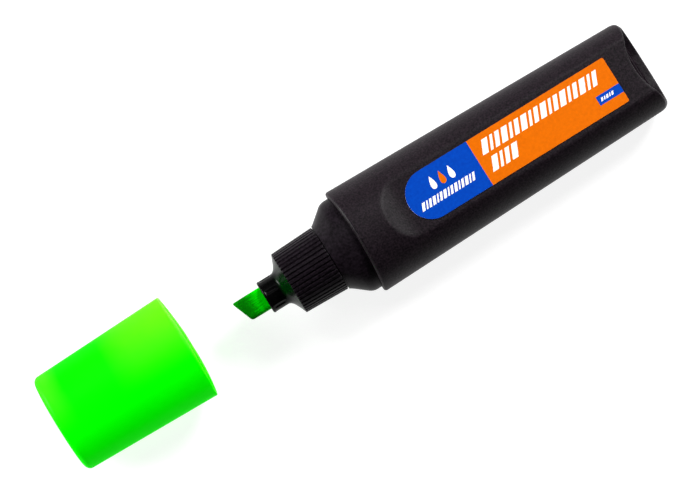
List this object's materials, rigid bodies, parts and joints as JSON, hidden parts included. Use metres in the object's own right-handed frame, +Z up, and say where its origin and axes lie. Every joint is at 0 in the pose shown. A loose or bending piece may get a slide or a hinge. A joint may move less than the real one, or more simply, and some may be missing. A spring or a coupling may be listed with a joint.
{
  "type": "highlighter pen",
  "caption": "Flat oval highlighter with a ribbed collar and chisel nib, its translucent pull-off cap lying in line in front of it.",
  "frame": {"origin": "centre of the bounding box in plan, on the surface that the pen and its cap lie on", "axes": "+X along the pen from the cap towards the barrel's rear end, +Z up through the label, +Y to the side that the nib's long corner is on"},
  "size_m": [0.1568, 0.026, 0.0186],
  "materials": {
    "barrel": "fine moulded grain",
    "plug": "satin moulded",
    "shoulder": "satin moulded",
    "collar": "satin moulded, ribbed",
    "nib_holder": "polished moulded",
    "nib": "bonded fibre, wet with ink",
    "reservoir": "bonded fibre, full of ink",
    "film": "clear film",
    "label": "printed and varnished",
    "cap": "translucent, semi-gloss",
    "seal": "translucent, semi-gloss"
  },
  "bodies": {
    "pen": {"barrel": "barrel", "end_plug": "plug", "shoulder": "shoulder", "collar": "collar", "nib_holder": "nib_holder", "nib": "nib", "reservoir": "reservoir", "reservoir_film": "film", "label": "label"},
    "cap": {"cap": "cap", "inner_seal": "seal"}
  },
  "joints": [
    {"name": "cap_slide", "type": "slide", "parent": "pen", "child": "cap", "axis": [1, 0, 0], "range_m": [0, 0.044]}
  ]
}
